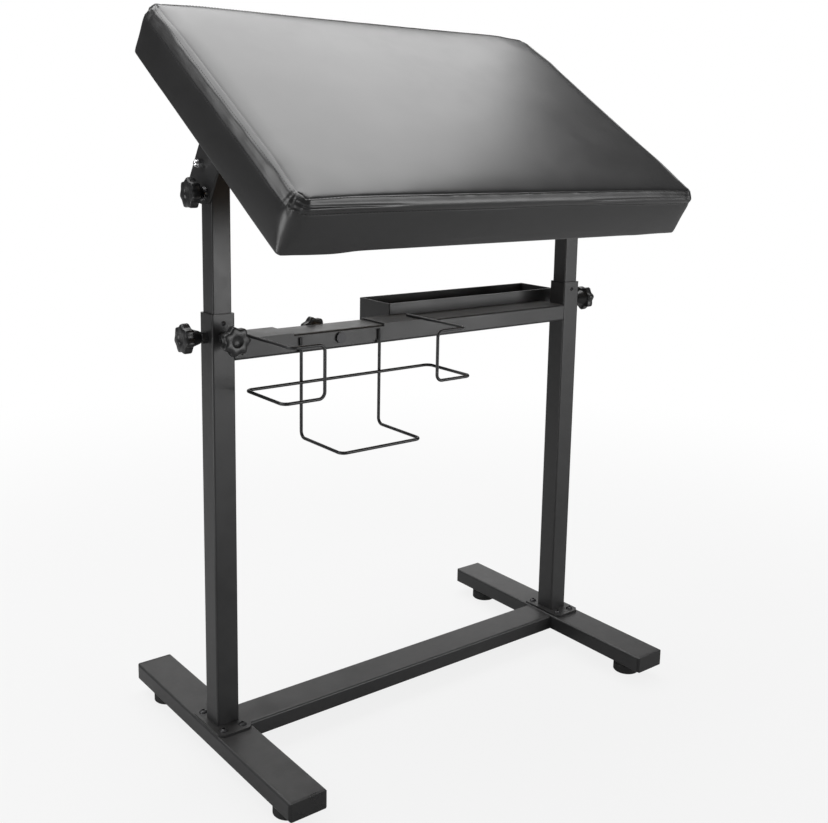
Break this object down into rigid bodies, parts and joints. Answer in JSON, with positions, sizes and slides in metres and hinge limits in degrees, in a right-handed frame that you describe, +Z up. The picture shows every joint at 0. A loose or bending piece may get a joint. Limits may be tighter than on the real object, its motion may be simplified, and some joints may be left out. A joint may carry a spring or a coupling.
{
  "type": "tattoo arm rest stand",
  "caption": "Standing arm rest with a tilting padded cushion on telescopic posts, a bottle tray and a wire glove box holder on its rail.",
  "frame": {"origin": "on the floor under the middle of the object's outline, the levelling feet at their shortest", "axes": "+X along the cushion to the tray's side, -Y to the front where the cushion's low edge is, +Z up"},
  "size_m": [0.671, 0.4108, 0.9138],
  "materials": {
    "black_powder_coat": "satin",
    "black_wire": "satin",
    "black_plastic": "satin",
    "black_rubber": "matte",
    "black_oxide": "satin",
    "bright_steel": "satin",
    "chrome_parts": "polished",
    "plywood": "matte",
    "foam_core": "matte",
    "black_vinyl": "satin"
  },
  "bodies": {
    "base_frame": {"left_foot_bar": "black_powder_coat", "right_foot_bar": "black_powder_coat", "foot_bar_end_caps": "black_plastic", "cross_bar": "black_powder_coat", "left_flange_plate": "black_powder_coat", "right_flange_plate": "black_powder_coat", "flange_bolts": "black_oxide", "flange_thread_inserts": "bright_steel", "foot_thread_inserts": "bright_steel", "left_outer_post": "black_powder_coat", "right_outer_post": "black_powder_coat", "left_guide_bush": "black_plastic", "right_guide_bush": "black_plastic", "guide_bush_screws": "black_oxide", "clamp_weld_nuts": "black_powder_coat", "upper_rail": "black_powder_coat", "rail_end_plates": "black_powder_coat", "bottle_tray": "black_powder_coat", "tray_screws": "bright_steel", "tray_thread_inserts": "bright_steel", "left_holder_hook": "black_powder_coat", "right_holder_hook": "black_powder_coat", "holder_back_strap": "black_powder_coat", "holder_wire_loop": "black_wire", "holder_wire_cradle": "black_wire", "holder_clamp_bolt": "black_oxide"},
    "sliding_posts": {"left_sliding_post": "black_powder_coat", "right_sliding_post": "black_powder_coat", "sliding_post_caps": "black_plastic", "sliding_post_shoes": "black_plastic", "pivot_bolts": "chrome_parts", "pivot_dome_nuts": "chrome_parts", "pivot_spacers": "black_plastic", "tilt_thread_inserts": "bright_steel", "tilt_lock_washers": "chrome_parts"},
    "arm_rest": {"left_tilt_bracket": "black_powder_coat", "right_tilt_bracket": "black_powder_coat", "bracket_screws": "bright_steel", "cushion_board": "plywood", "cushion_foam": "foam_core", "cushion_cover": "black_vinyl"},
    "left_height_clamp": {"left_height_knob": "black_plastic", "left_height_stud": "bright_steel"},
    "right_height_clamp": {"right_height_knob": "black_plastic", "right_height_stud": "bright_steel"},
    "front_clamp": {"front_clamp_knob": "black_plastic", "front_clamp_stud": "bright_steel"},
    "left_tilt_clamp": {"left_tilt_knob": "black_plastic", "left_tilt_stud": "chrome_parts"},
    "right_tilt_clamp": {"right_tilt_knob": "black_plastic", "right_tilt_stud": "chrome_parts"},
    "holder_clamp": {"holder_clamp_knob": "black_plastic"},
    "front_left_foot": {"front_left_foot_disc": "black_rubber", "front_left_foot_stem": "bright_steel"},
    "front_right_foot": {"front_right_foot_disc": "black_rubber", "front_right_foot_stem": "bright_steel"},
    "back_left_foot": {"back_left_foot_disc": "black_rubber", "back_left_foot_stem": "bright_steel"},
    "back_right_foot": {"back_right_foot_disc": "black_rubber", "back_right_foot_stem": "bright_steel"}
  },
  "joints": [
    {"name": "height_slide", "type": "slide", "parent": "base_frame", "child": "sliding_posts", "axis": [0, 0, 1], "range_m": [-0.05, 0.09]},
    {"name": "arm_rest_tilt", "type": "hinge", "parent": "sliding_posts", "child": "arm_rest", "pos_m": [0, 0.00544, 0.728], "axis": [1, 0, 0], "range_deg": [-43, 17]},
    {"name": "left_height_knob_turn", "type": "hinge", "parent": "base_frame", "child": "left_height_clamp", "pos_m": [-0.32, 0.00544, 0.528], "axis": [-1, 0, 0], "range_deg": [0, 540]},
    {"name": "right_height_knob_turn", "type": "hinge", "parent": "base_frame", "child": "right_height_clamp", "pos_m": [0.32, 0.00544, 0.528], "axis": [1, 0, 0], "range_deg": [0, 540]},
    {"name": "front_knob_turn", "type": "hinge", "parent": "base_frame", "child": "front_clamp", "pos_m": [-0.288, -0.02656, 0.528], "axis": [0, -1, 0], "range_deg": [0, 540]},
    {"name": "left_tilt_knob_turn", "type": "hinge", "parent": "sliding_posts", "child": "left_tilt_clamp", "pos_m": [-0.315, 0.00544, 0.694], "axis": [-1, 0, 0], "range_deg": [0, 540]},
    {"name": "right_tilt_knob_turn", "type": "hinge", "parent": "sliding_posts", "child": "right_tilt_clamp", "pos_m": [0.315, 0.00544, 0.694], "axis": [1, 0, 0], "range_deg": [0, 540]},
    {"name": "holder_knob_turn", "type": "hinge", "parent": "base_frame", "child": "holder_clamp", "pos_m": [-0.126, 0.05044, 0.513], "axis": [0, 1, 0], "range_deg": [0, 540]},
    {"name": "front_left_foot_screw", "type": "slide", "parent": "base_frame", "child": "front_left_foot", "axis": [0, 0, -1], "range_m": [0, 0.012]},
    {"name": "front_right_foot_screw", "type": "slide", "parent": "base_frame", "child": "front_right_foot", "axis": [0, 0, -1], "range_m": [0, 0.012]},
    {"name": "back_left_foot_screw", "type": "slide", "parent": "base_frame", "child": "back_left_foot", "axis": [0, 0, -1], "range_m": [0, 0.012]},
    {"name": "back_right_foot_screw", "type": "slide", "parent": "base_frame", "child": "back_right_foot", "axis": [0, 0, -1], "range_m": [0, 0.012]}
  ]
}
